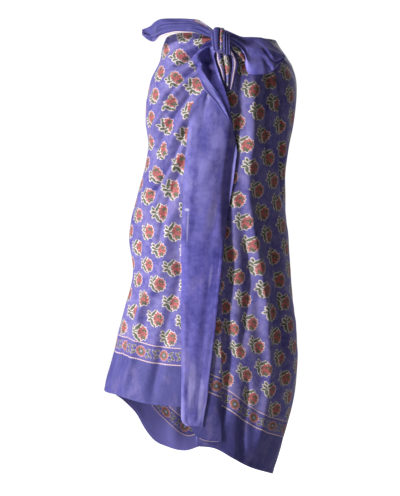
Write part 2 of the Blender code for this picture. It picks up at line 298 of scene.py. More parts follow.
# %% Shape of the wrap
WRAP_CELLS = (244, 186)
FRONT_CROWDING = 0.055
TOP_CROWDING = 0.45
HEM_WIDTH = 0.0075
HEM_ROWS = 8
HEM_SHARE = 0.012
SIDE_PLEATS = (0.302, 0.722)  # where along s
SIDE_PLEAT_DEPTH = 0.0055
SIDE_PLEAT_HALF = 0.0075


def wrap_grid():
    """Across, turn, drop and hem of each point, closer together at the front and the top."""
    across, down = WRAP_CELLS
    s = steps(across)
    s = s - FRONT_CROWDING * np.sin(2 * np.pi * s)
    upper = np.linspace(0, 1, down + 1 - HEM_ROWS)
    upper = (1 - HEM_SHARE) * (TOP_CROWDING * upper ** 2 + (1 - TOP_CROWDING) * upper)
    lower = np.linspace(1 - HEM_SHARE, 1, HEM_ROWS + 1)[1:]
    s, t = np.meshgrid(s, np.concatenate([upper, lower]))
    first_drop = t * HEM[0][1]
    last_drop = t * HEM[-1][1]
    first = turn_at(smooth(first_drop, column(OPENING, 0), column(OPENING, 1)), first_drop)
    last = turn_at(smooth(last_drop, column(OPENING, 0), column(OPENING, 2)), last_drop)
    turn = first + (last + 2 * np.pi - first) * s
    top = smooth(np.degrees(turn), column(TOP_EDGE, 0), column(TOP_EDGE, 1))
    hem = smooth(np.degrees(turn), column(HEM, 0), column(HEM, 1))
    drop = top + (hem - top) * t
    return s, turn, drop, hem


def wrinkles(turn, drop):
    """Low, uneven creases left by folding and wear."""
    radius = section(drop)[1]
    x = turn * radius
    fine = np.sin(95 * x + 31 * drop + 1.3 * np.sin(23 * drop + 9 * x))
    fine = fine * np.sin(41 * drop - 17 * x + 2.1 * np.sin(15 * x + 4))
    broad = np.sin(38 * x - 12 * drop + 1.7 * np.sin(9 * drop + 2)) * np.sin(14 * drop + 11 * x)
    return 0.0006 * fine + 0.0014 * broad


s, turn, drop, hem = wrap_grid()
ring = 2 * np.pi * section(drop)[1]
side_pleats = sum(np.exp(-(((s - at) * ring / SIDE_PLEAT_HALF) ** 2)) for at in SIDE_PLEATS)
hem_fold = 0.0006 * ease(drop, hem - HEM_WIDTH - 0.0015, hem - HEM_WIDTH)
lift = fold_rise(turn, drop) + wrinkles(turn, drop) - SIDE_PLEAT_DEPTH * side_pleats + hem_fold
wrap_points = on_wrap(turn, drop, lift)
print("wrap:", round(area_of(wrap_points), 3), "square metres")

# %% [markdown]
# ## Where the print lies
# The print belongs to the flat cloth, so each point needs its place there: u along the cloth's
# length, v up from its lower hem. On each panel the cloth hangs at its own slant. The border
# follows the hem, and the field follows the panel's straight grain, so v blends from one to the
# other. On the left panel the cloth is pulled up to the knot, and its grain turns on the way. The
# back is measured from its middle, and part of its plain strip is turned under at the lower left.

# %% Flat cloth coordinates of the wrap
RIGHT_SLANT = np.radians(24)
BACK_SLANT = np.radians(-15)
LEFT_MIDDLE = -0.200  # across, on the left panel
LEFT_SLANT = ((0.00, 6), (0.30, 3), (0.42, 0), (0.56, -22), (0.95, -27))  # height, degrees
INNER_DIP = (  # turn in degrees, how much of the plain strip is turned under there
    (0, 0), (136, 0), (146, 0.010), (156, 0.026), (163, 0.040), (170, 0.054), (176, 0.062),
    (190, 0.055), (210, 0.038), (230, 0.020), (250, 0.003), (260, 0), (360, 0),
)
INNER_DIP_FADE = (0.12, 1.0)  # heights above the hem
PRINT_SHIFT = {"left": (0.012, 0.005), "back": (-0.873, 0.000), "right": (0.000, 0.015)}
HEM_LINE = {"left": 0.868, "back": 0.967, "right": 0.985}  # drop where across is 0
FIELD_FROM = {"left": 0.45, "back": 0.60, "right": 0.45}  # height from which the grain is straight


def follow_hem(straight, drop, hem, reach):
    """The height above the hem near it, and above a straight line from reach upwards."""
    share = ease(hem - drop, 0.10, reach)
    return (hem - drop) * (1 - share) + straight * share


def left_map(across, drop, hem):
    """The weft turns as it climbs, so the height along the middle is found step by step."""
    heights = np.linspace(-0.3, 1.3, 400)
    slant = np.radians(smooth(heights, column(LEFT_SLANT, 0), column(LEFT_SLANT, 1)))
    step = heights[1] - heights[0]
    slide = -np.cumsum(np.sin(slant)) * step
    climb = np.cumsum(np.cos(slant)) * step
    climb -= np.interp(0, heights, climb)
    off = across - LEFT_MIDDLE
    height = HEM_LINE["left"] - drop
    for _ in range(25):
        guess = HEM_LINE["left"] + np.tan(np.interp(height, heights, slant)) * off - drop
        height = 0.5 * height + 0.5 * guess
    u = off / np.cos(np.interp(height, heights, slant)) + np.interp(height, heights, slide)
    shift_u, shift_v = PRINT_SHIFT["left"]
    v = follow_hem(np.interp(height, heights, climb) + shift_v, drop, hem, FIELD_FROM["left"])
    return np.stack([u + shift_u, v], axis=-1)


def slanted_map(panel, across, drop, hem, slant, hem_pull):
    """A panel whose grain keeps one slant. hem_pull is how many metres of flat cloth there are
    to a metre of height near the hem."""
    shift_u, shift_v = PRINT_SHIFT[panel]
    straight = (HEM_LINE[panel] + np.tan(slant) * across - drop) * np.cos(slant) + shift_v
    u = across * np.cos(slant) + drop * np.sin(slant) + shift_u
    pulled_hem = drop + hem_pull * (hem - drop)
    return np.stack([u, follow_hem(straight, drop, pulled_hem, FIELD_FROM[panel])], axis=-1)


def round_the_body(points):
    """How far along its row each point is, and how long the row is."""
    hop = np.hypot(*np.moveaxis(np.diff(points[..., :2], axis=1), -1, 0))
    along = np.concatenate([np.zeros((len(points), 1)), np.cumsum(hop, axis=1)], axis=1)
    return along, along[:, -1:]


along, whole = round_the_body(on_wrap(turn, drop, np.zeros_like(drop)))
from_left = wrap_points[:, :1, 0] - along
back_middle = np.array([np.interp(np.pi, *row) for row in zip(turn, along)])
from_back = back_middle[:, None] - along
from_right = wrap_points[:, -1:, 0] + whole - along
inner_dip = smooth(np.degrees(turn), column(INNER_DIP, 0), column(INNER_DIP, 1))
inner_dip = inner_dip * (1 - ease(hem - drop, *INNER_DIP_FADE))
# both pulls reach 1.08 at the right side pleat, so that the border's lines meet across it
back_pull = 0.97 + 0.11 * ease(np.degrees(turn), 210, 250)
right_pull = 0.94 + 0.14 * ease(from_right, 0.0, 0.13)
wrap_maps = [
    left_map(from_left, drop, hem),
    slanted_map("back", from_back, drop, hem, BACK_SLANT, back_pull),
    slanted_map("right", from_right, drop, hem, RIGHT_SLANT, right_pull),
]
wrap_maps[1][..., 1] += inner_dip
pleat_columns = [int(np.searchsorted(s[0], at)) for at in SIDE_PLEATS]
wrap = cloth_sheet(
    "printed_wrap", wrap_points, wrap_maps,
    lambda first: (first >= pleat_columns[0]).astype(int) + (first >= pleat_columns[1]), flip=False,
)
print("wrap's side pleats at columns", pleat_columns)

# %% [markdown]
# ## Strips that lie on the wrap
# The hanging end, the pleat beside it and the small gathers all lie on the wrap. Each is a short
# table of rows, from the viewer's left edge to the right one, and takes its points from the wrap,
# moved out by a lift. So they follow the wrap's folds and never sink into them.

# %% Strips: tables and helper
BEYOND_THE_PRINT = 2.0  # metres added to v, where the printed material is plain and pale
BAND = (
    (-0.030, 0.112, -0.002, 0.112), (-0.0597, 0.1454, 0.0128, 0.1454),
    (-0.0728, 0.1763, 0.0223, 0.1763),
    (-0.0768, 0.2072, 0.0282, 0.2072), (-0.0811, 0.2571, 0.0379, 0.2571),
    (-0.0853, 0.2975, 0.0341, 0.2975),
    (-0.0889, 0.3521, 0.0270, 0.3521), (-0.0918, 0.4305, 0.0139, 0.4305),
    (-0.0941, 0.5255, 0.0025, 0.5255),
    (-0.0941, 0.6371, -0.0086, 0.6371), (-0.0941, 0.7322, -0.0193, 0.7322),
    (-0.0941, 0.8011, -0.0276, 0.8011),
    (-0.0946, 0.8557, -0.0336, 0.8557), (-0.0952, 0.8930, -0.0400, 0.8930),
    (-0.0925, 0.9080, -0.0425, 0.9110),
    (-0.0830, 0.9185, -0.0450, 0.9200),
)
TURN_OVER = (
    (-0.0110, -0.0020, -0.0070, 0.0200), (-0.0400, 0.0110, -0.0150, 0.0370),
    (-0.0610, 0.0330, -0.0130, 0.0500),
    (-0.0590, 0.0620, -0.0080, 0.0680), (-0.0500, 0.0901, -0.0004, 0.0920),
    (-0.0371, 0.1207, 0.0091, 0.1207),
    (-0.0101, 0.1546, 0.0186, 0.1546), (0.0103, 0.1850, 0.0228, 0.1850),
    (0.0225, 0.2037, 0.0278, 0.2037),
)
PLEAT = (
    (-0.0100, 0.0220, 0.0110, 0.0220), (-0.0230, 0.0600, 0.0230, 0.0600),
    (-0.0330, 0.1215, 0.0150, 0.1215), (-0.0360, 0.2300, 0.0080, 0.2300),
    (-0.0480, 0.4300, -0.0010, 0.4300), (-0.0620, 0.6206, 0.0009, 0.6206),
    (-0.0680, 0.8107, 0.0009, 0.8107),
    (-0.0700, 0.9140, 0.0009, 0.9450), (-0.0690, 0.9260, 0.0009, 0.9560),
)
GATHERS = (
    (
        (-0.0100, 0.0150, -0.0020, 0.0150), (-0.0090, 0.0480, 0.0030, 0.0480),
        (0.0000, 0.0750, 0.0080, 0.0750), (0.0060, 0.1020, 0.0100, 0.1020),
    ),
    (
        (0.0040, 0.0180, 0.0110, 0.0180), (0.0095, 0.0600, 0.0220, 0.0600),
        (0.0130, 0.0900, 0.0195, 0.0900), (0.0140, 0.1120, 0.0175, 0.1120),
    ),
    (
        (0.0120, 0.0120, 0.0180, 0.0120), (0.0265, 0.0500, 0.0400, 0.0500),
        (0.0235, 0.0900, 0.0345, 0.0900), (0.0205, 0.1200, 0.0250, 0.1200),
    ),
)
FLAP = (
    (0.0100, -0.0240, 0.0150, 0.0030), (0.0290, -0.0150, 0.0370, 0.0170),
    (0.0480, -0.0085, 0.0530, 0.0420),
    (0.0700, -0.0088, 0.0610, 0.0790), (0.0950, -0.0070, 0.0880, 0.0830),
    (0.1170, 0.0090, 0.1120, 0.0760),
    (0.1330, 0.0240, 0.1270, 0.0600), (0.1405, 0.0340, 0.1395, 0.0420),
)
ROLL = (
    (0.0150, 0.0020, 0.0130, 0.0110), (0.0370, 0.0150, 0.0290, 0.0250),
    (0.0540, 0.0330, 0.0430, 0.0400),
    (0.0570, 0.0500, 0.0510, 0.0520),
)


def strip(name, rows, lift_at, cells, map_of=None, sag=0.0):
    """Builds a strip. Without map_of its UV map is its own width and length in metres.
    sag is how far its lower edge hangs below a straight line."""
    s, t = np.meshgrid(steps(cells[0]), steps(cells[1]))
    places = steps(len(rows) - 1)
    x0, drop0, x1, drop1 = [smooth(t, places, column(rows, i)) for i in range(4)]
    across, drop = x0 + (x1 - x0) * s, drop0 + (drop1 - drop0) * s
    drop = drop + sag * np.sin(np.pi * s ** 0.65) * ease(t, 0.96, 1.0)
    turn = turn_at(across, drop)
    points = on_wrap(turn, drop, fold_rise(turn, drop) + lift_at(s, t))
    if map_of:
        flat = map_of(across, drop, s, t)
    else:
        centre = np.stack([(x0 + x1)[:, 0] / 2, (drop0 + drop1)[:, 0] / 2], axis=-1)
        hop = np.hypot(*np.diff(centre, axis=0).T)
        length = np.concatenate([[0], np.cumsum(hop)])[:, None] + 0 * s
        width = float(np.mean(np.hypot(x1 - x0, drop1 - drop0)))
        flat = np.stack([s * width, length], axis=-1)
    made = cloth_sheet(name, points, [flat], one_map, flip=True)
    print(f"{name}: {area_of(points):.4f} square metres")
    return made, points


# %% [markdown]
# ## The hanging end
# The cloth's short end is a plain dyed border that hangs straight down from the knot. Its left
# edge is folded back, its right edge is a narrow stitched hem, and long soft creases run down it.

# %% The hanging end
KNOT_REACH = 0.0100


def bump_at(at, centre, half):
    return np.exp(-(((at - centre) / half) ** 2))


def knot_pull(t, fade=0.16):
    """How far the knot holds a strip's upper end out from the wrap."""
    return KNOT_REACH * bump_at(t, 0, fade)


def between(at, start, full, fading, end):
    """0 outside start and end, and 1 from full to fading."""
    return ease(at, start, full) * (1 - ease(at, fading, end))


def band_lift(s, t):
    fold = 0.0030 * bump_at(s, 0, 0.06) * np.clip(6 * t - 0.5, 0, 1)
    creases = 0.0006 * np.sin(2 * np.pi * (1.7 * s + 0.9 * t)) * np.sin(np.pi * t)
    centre_crease = -0.0032 * bump_at(s, 0.34 + 0.10 * t, 0.075) * (1 - ease(t, 0.05, 0.22))
    right_crease = -0.0012 * bump_at(s, 0.74 - 0.06 * t, 0.090) * between(t, 0.20, 0.5, 0.7, 0.95)
    left_crease = 0.0008 * bump_at(s, 0.17 + 0.03 * np.sin(7 * t), 0.060) * ease(t, 0.1, 0.3)
    pressed = 0.0009 * (bump_at(t, 0.765, 0.008) + bump_at(t, 0.868, 0.007)) * ease(s, 0.15, 0.7)
    ripple = 0.0007 * np.sin(34 * t + 5 * s) * np.sin(11 * s + 9 * t)
    right_hem = 0.0007 * ease(s, 0.925, 0.940)
    swell = 0.0030 * np.sin(np.pi * t) ** 2
    return (
        0.0058 - fold + creases + swell
        + centre_crease + right_crease + left_crease + pressed + ripple + right_hem
    )


band, band_points = strip("hanging_end", BAND, band_lift, (72, 300))

# %% [markdown]
# Above it the same end is turned over on itself, so its darker reverse shows between two rolled
# edges. It runs slanting across the front, out of the knot and down to the right.

# %% The turned-over top of the hanging end
def turn_lift(s, t):
    upper = between(t, 0.05, 0.18, 0.38, 0.60)
    lower = between(t, 0.40, 0.56, 0.80, 1.0)
    left_hem = 0.0014 * bump_at(s, 0.045, 0.040)
    billow = 0.0140 * (ease(s, 0.02, 0.30) - ease(s, 0.34, 0.50)) * upper
    hollow = -0.0085 * ease(s, 0.40, 0.54) * (1 - 0.6 * ease(s, 0.88, 0.98)) * upper
    ridge = 0.0042 * bump_at(s, 0.46, 0.18) * lower
    crease = 0.0012 * bump_at(s, 0.10 + 1.3 * (t - 0.3), 0.045) * between(t, 0.32, 0.40, 0.62, 0.75)
    shape = left_hem + billow + hollow + ridge + crease
    return 0.0100 + 0.0040 * (1 - t) + shape + 0.4 * knot_pull(t)


turned, turned_points = strip("turned_over_end", TURN_OVER, turn_lift, (56, 110))

# %% [markdown]
# Behind the hanging end a printed pleat of the right panel shows. Below the knot three small
# pleats and one little roll run out, which are the printed cloth pulled tight.

# %% The pleat and the gathers
def pleat_map(across, drop, s, t):
    straight = (0.957 + 0.43 * across - drop) * np.cos(RIGHT_SLANT)
    u = across * np.cos(RIGHT_SLANT) + drop * np.sin(RIGHT_SLANT)
    pale_hem = (t > 0.9965) * (s > 0.24) * (s < 0.90)
    return np.stack([u, straight + BEYOND_THE_PRINT * pale_hem], axis=-1)


def pleat_lift(s, t):
    hem_fold = 0.0005 * ease(t, 0.990, 0.992)
    return 0.0034 + knot_pull(t, 0.03) + hem_fold + 0.0006 * np.sin(9 * t + 3 * s)


def gather_lift(s, t):
    return 0.0062 + 0.0040 * np.sin(np.pi * s) * (1 - 0.8 * t) + knot_pull(t)


def roll_lift(s, t):
    return 0.0110 + 0.0040 * np.sin(np.pi * s) + knot_pull(t)


def edge_of_print(start, width, length):
    """Lays the border's dotted line along a narrow strip: start is v at its left edge."""
    return lambda across, drop, s, t: np.stack([t * length, start + s * width], axis=-1)


pleat, _ = strip("printed_pleat", PLEAT, pleat_lift, (40, 300), pleat_map, sag=0.015)
gathers = []
GATHER_PRINT = ((0.1345, 0.012, 0.09), (0.158, 0.022, 0.10), (0.0925, 0.012, 0.11))
for number, (rows, printed) in enumerate(zip(GATHERS, GATHER_PRINT), 1):
    made, _ = strip(f"gather_{number}", rows, gather_lift, (24, 48), edge_of_print(*printed))
    gathers.append(made)
roll, _ = strip("printed_roll", ROLL, roll_lift, (20, 36), edge_of_print(0.150, 0.018, 0.06))

# %% [markdown]
# ## The two tie ends
# The right end is short and wide, and puffs out where the knot grips it. The left end stands out
# to the side: its upper part bulges forward, and its lower edge curls back and shows the dotted
# line where the print begins. Both have fine creases that run together at the knot.

# %% The right tie end
def flap_lift(s, t):
    bulge = 0.0060 * np.sin(np.pi * s) * np.sin(np.pi * t)
    rays = 0.0034 * np.sin(2 * np.pi * (2.3 * s + 0.3 * np.sin(4 * t) + 0.2))
    rays = rays * np.exp(-1.8 * t) * ease(t, 0.03, 0.2)
    upper = 0.0026 * bump_at(s, 0.34 - 0.12 * t, 0.08) * between(t, 0.25, 0.45, 0.75, 1.0)
    dent = -0.0036 * bump_at(s, 0.66 - 0.1 * t, 0.12) * bump_at(t, 0.50, 0.22)
    crease = -0.0030 * bump_at(s, 0.10 + 0.60 * ease(t, 0.40, 0.85), 0.06) * ease(t, 0.35, 0.50)
    return 0.0085 + 0.0120 * t + knot_pull(t) + bulge + rays + upper + dent + crease


flap, flap_points = strip("right_tie_end", FLAP, flap_lift, (72, 96))

# %% The left tie end
TIE_LEFT = (  # upper edge across and up, lower edge across and up, depth
    (-0.0100, 0.0160, -0.0100, -0.0020, -0.1290), (-0.0490, 0.0440, -0.0562, 0.0150, -0.1235),
    (-0.0777, 0.0500, -0.0873, 0.0170, -0.1150), (-0.1089, 0.0530, -0.1180, 0.0170, -0.0990),
    (-0.1424, 0.0545, -0.1420, 0.0110, -0.0780), (-0.1592, 0.0490, -0.1620, 0.0025, -0.0640),
    (-0.1710, 0.0395, -0.1760, 0.0070, -0.0560), (-0.1905, 0.0325, -0.1905, 0.0200, -0.0480),
)
TIE_CELLS = (64, 110)

s, t = np.meshgrid(steps(TIE_CELLS[0]), steps(TIE_CELLS[1]))
rows_at = steps(len(TIE_LEFT) - 1)
x0, up0, x1, up1, depth = [smooth(t, rows_at, column(TIE_LEFT, i)) for i in range(5)]
belly = 0.010 * np.sin(np.pi * np.clip(s / 0.65, 0, 1)) * np.sin(np.pi * np.clip(t, 0.1, 0.9))
rays = 0.0030 * np.sin(2 * np.pi * 2.6 * s + 2 * t + 1) * np.exp(-2.6 * t) * ease(t, 0.03, 0.15)
long_fold = 0.0060 * bump_at(s, 0.34 + 0.10 * t, 0.055) * between(t, 0.08, 0.25, 0.5, 0.7)
curl = 0.0050 * ease(s, 0.72, 0.86) * ease(t, 0.10, 0.3)
lip = 0.0045 * ease(s, 0.88, 1.0) * between(t, 0.05, 0.2, 0.60, 0.72)
lobe = 0.0060 * bump_at(s, 0.80, 0.20) * ease(t, 0.70, 0.85)
dents = 0.0024 * np.sin(21 * t + 4 * s) * np.sin(np.pi * s) * ease(t, 0.2, 0.5)
tip_fold = 0.0050 * bump_at(s, 0.62, 0.05) * ease(t, 0.74, 0.84)
tie_depth = depth - belly - rays + long_fold + tip_fold + curl - lip - lobe + dents
tie_points = np.stack([x0 + (x1 - x0) * s, tie_depth, up0 + (up1 - up0) * s], axis=-1)
selvedge = (s > 1 - 0.13 * between(t, 0.12, 0.35, 0.60, 0.70)) * (t < 0.70)
tie_v = 0.045 + 0.105 * (1 - ease(s, 0.05, 0.45)) * (1 - ease(t, 0.16, 0.26))
tie_v = tie_v + BEYOND_THE_PRINT * selvedge
tie_map = np.stack([t * 0.19, tie_v + 0.01 * s], axis=-1)
tie_left = cloth_sheet("left_tie_end", tie_points, [tie_map], one_map, flip=False, centred=True)
print(f"left_tie_end: {area_of(tie_points):.4f} square metres")

# %% [markdown]
# ## The knot
# The knot is the end pulled once through itself, so what shows is a short upright bundle of
# strands that fold over its front. Tying it as one path of cloth would hide most of the work
# inside. Here each strand is a flattened tube that arches over a plain core: a row gives its
# place across and its half width at the top, middle and bottom, and how high it starts and ends.

# %% The strands
KNOT_HALF = (0.0245, 0.0200, 0.0355)
KNOT_CENTRE = (0.0010, -0.0065)
KNOT_REST_DROP = 0.0300
KNOT_SQUARENESS = 0.7
KNOT_GAP = 0.0004
CORE_SHARE = 0.78
STRANDS = (  # across x3, half width x3, top, bottom, stand-off, v of the print, its width
    (-0.0185, -0.0190, -0.0125, 0.0048, 0.0044, 0.0040, 0.0180, -0.0290, -0.0014, 0.020, 0.010),
    (-0.0085, -0.0108, -0.0070, 0.0090, 0.0062, 0.0040, 0.0285, -0.0320, 0.0018, 0.040, 0.012),
    (0.0025, 0.0008, 0.0022, 0.0055, 0.0044, 0.0044, 0.0270, -0.0345, 0.0004, 0.1050, 0.020),
    (0.0082, 0.0075, 0.0090, 0.0030, 0.0034, 0.0034, 0.0225, -0.0360, 0.0010, 0.025, 0.008),
    (0.0116, 0.0136, 0.0148, 0.0026, 0.0030, 0.0032, 0.0200, -0.0380, -0.0002, 0.035, 0.008),
    (0.0150, 0.0190, 0.0204, 0.0026, 0.0028, 0.0030, 0.0165, -0.0385, -0.0014, 0.030, 0.008),
)
STRAND_STEPS = 72
STRAND_SIDES = 20
STRAND_DEPTH = 0.0042


def through(ends, at):
    """A curve through a value at 0, 0.5 and 1."""
    top, half, bottom = ends
    return top * (2 * at - 1) * (at - 1) + 4 * half * at * (1 - at) + bottom * at * (2 * at - 1)


def add_strand(mesh, uv, middle, row):
    x_ends, w_ends = row[0:3], row[3:6]
    top, bottom, stand_off, print_v, print_width = row[6:]
    rings = []
    for i in range(STRAND_STEPS + 1):
        at = i / STRAND_STEPS
        angle = np.pi * (0.5 - at)
        half = through(w_ends, at)
        centre = Vector((
            through(x_ends, at),
            middle.y - (KNOT_HALF[1] + stand_off - 0.0030) * np.cos(angle) ** 0.8,
            (top + bottom) / 2 + (top - bottom) / 2 * np.sin(angle) - STRAND_DEPTH * np.sin(angle),
        ))
        out = Vector((0, -np.cos(angle), np.sin(angle)))
        ring = []
        for k in range(STRAND_SIDES):
            round_at = 2 * np.pi * k / STRAND_SIDES
            side = np.sign(np.cos(round_at)) * abs(np.cos(round_at)) ** 0.85
            ring.append(mesh.verts.new(
                centre + Vector((half * side, 0, 0)) + out * STRAND_DEPTH * np.sin(round_at)
            ))
        rings.append(ring)
    faces = []
    for i, (ring, below) in enumerate(zip(rings, rings[1:])):
        for k in range(STRAND_SIDES):
            n = (k + 1) % STRAND_SIDES
            face = mesh.faces.new((ring[k], below[k], below[n], ring[n]))
            faces.append(face)
            for corner, (a, b) in zip(face.loops, ((i, k), (i + 1, k), (i + 1, k + 1), (i, k + 1))):
                across = 0.5 + 0.5 * np.cos(2 * np.pi * b / STRAND_SIDES)
                corner[uv].uv = (0.075 * a / STRAND_STEPS, print_v + print_width * across)
    for ring in (rings[0], rings[-1]):
        faces.append(mesh.faces.new(ring))
    return faces


ball = bmesh.new()
bmesh.ops.create_uvsphere(ball, u_segments=48, v_segments=28, radius=1.0)
knot_uv = ball.loops.layers.uv.new("Cloth")
rest = on_wrap(turn_at(KNOT_CENTRE[0], KNOT_REST_DROP), KNOT_REST_DROP, 0.0)[1]
middle = Vector((KNOT_CENTRE[0], rest - KNOT_HALF[1] - 2 * KNOT_GAP, KNOT_CENTRE[1]))
for point in ball.verts:
    square = [np.sign(c) * abs(c) ** KNOT_SQUARENESS for c in point.co.normalized()]
    point.co = middle + Vector([h * c * CORE_SHARE for h, c in zip(KNOT_HALF, square)])
for face in ball.faces:
    for corner in face.loops:
        corner[knot_uv].uv = (corner.vert.co.z, 0.03)
for row in STRANDS:
    made = add_strand(ball, knot_uv, middle, row)
    bmesh.ops.recalc_face_normals(ball, faces=made)
knot_mesh = bpy.data.meshes.new("knot_bundle")
ball.to_mesh(knot_mesh)
ball.free()
knot_mesh.shade_smooth()
knot = add_object("knot_bundle", knot_mesh)
print("knot:", len(STRANDS), "strands,", len(knot_mesh.polygons), "faces")

# %% [markdown]
# ## Hem stitches
# Each hem is held by a line of running stitches. They repeat along a path, so Geometry Nodes fit
# well: a line of points is resampled at the stitch pitch, a tiny rounded thread is placed on each
# point and turned along the line, and the copies are made real.

# %% The stitch tree
SEWING = {"Pitch": 0.0045, "Stitch length": 0.0030, "Thread thickness": 0.0005, "Seed": 7}


def stitch_tree():
    tree = bpy.data.node_groups.new("Hem stitches", "GeometryNodeTree")
    sockets = {}
    for name, kind in (
        ("Geometry", "Geometry"), ("Pitch", "Float"), ("Stitch length", "Float"),
        ("Thread thickness", "Float"), ("Seed", "Int"), ("Material", "Material"),
    ):
        sockets[name] = tree.interface.new_socket(
            name=name, in_out="INPUT", socket_type="NodeSocket" + kind
        )
    tree.interface.new_socket(name="Geometry", in_out="OUTPUT", socket_type="NodeSocketGeometry")
    add, link = tree.nodes.new, tree.links.new
    given, result = add("NodeGroupInput"), add("NodeGroupOutput")
    to_curve, resample = add("GeometryNodeMeshToCurve"), add("GeometryNodeResampleCurve")
    resample.mode = "LENGTH"
    thread = add("GeometryNodeMeshUVSphere")
    thread.inputs["Segments"].default_value = 6
    thread.inputs["Rings"].default_value = 4
    thread.inputs["Radius"].default_value = 0.5
    size, shape = add("ShaderNodeCombineXYZ"), add("GeometryNodeTransform")
    place, tangent = add("GeometryNodeInstanceOnPoints"), add("GeometryNodeInputTangent")
    align = add("FunctionNodeAlignRotationToVector")
    align.axis = "X"
    uneven = add("FunctionNodeRandomValue")
    uneven.data_type = "FLOAT_VECTOR"
    uneven.inputs[0].default_value = (0.80, 0.9, 0.9)
    uneven.inputs[1].default_value = (1.10, 1.1, 1.1)
    real, shade = add("GeometryNodeRealizeInstances"), add("GeometryNodeSetShadeSmooth")
    finish = add("GeometryNodeSetMaterial")
    link(given.outputs["Geometry"], to_curve.inputs[0])
    link(to_curve.outputs[0], resample.inputs["Curve"])
    link(given.outputs["Pitch"], resample.inputs["Length"])
    link(given.outputs["Stitch length"], size.inputs["X"])
    link(given.outputs["Thread thickness"], size.inputs["Y"])
    link(given.outputs["Thread thickness"], size.inputs["Z"])
    link(thread.outputs[0], shape.inputs["Geometry"])
    link(size.outputs[0], shape.inputs["Scale"])
    link(resample.outputs[0], place.inputs["Points"])
    link(shape.outputs[0], place.inputs["Instance"])
    link(tangent.outputs[0], align.inputs["Vector"])
    link(align.outputs[0], place.inputs["Rotation"])
    link(given.outputs["Seed"], uneven.inputs["Seed"])
    link(uneven.outputs[0], place.inputs["Scale"])
    link(place.outputs[0], real.inputs[0])
    link(real.outputs[0], shade.inputs[0])
    link(shade.outputs[0], finish.inputs["Geometry"])
    link(given.outputs["Material"], finish.inputs["Material"])
    link(finish.outputs[0], result.inputs[0])
    return tree, sockets


STITCHES, STITCH_SOCKETS = stitch_tree()


def outward(points):
    """Unit normals of a grid of points, out of the cloth's face."""
    normal = np.cross(np.gradient(points, axis=1), np.gradient(points, axis=0))
    return normal / (np.linalg.norm(normal, axis=-1, keepdims=True) + 1e-12)


def stitch_line(name, line, material):
    """Stitches along a line of points."""
    mesh = bpy.data.meshes.new(name + "_path")
    mesh.from_pydata(line.tolist(), [(i, i + 1) for i in range(len(line) - 1)], [])
    path = add_object(name + "_path", mesh)
    sew = path.modifiers.new("Stitches", "NODES")
    sew.node_group = STITCHES
    for setting, value in {**SEWING, "Material": material}.items():
        sew[STITCH_SOCKETS[setting].identifier] = value
    ready = path.evaluated_get(bpy.context.evaluated_depsgraph_get())
    sewn = bpy.data.meshes.new_from_object(ready)
    bpy.data.objects.remove(path)
    made = add_object(name, sewn)
    print(f"{name}: {len(sewn.polygons)} faces")
    return made
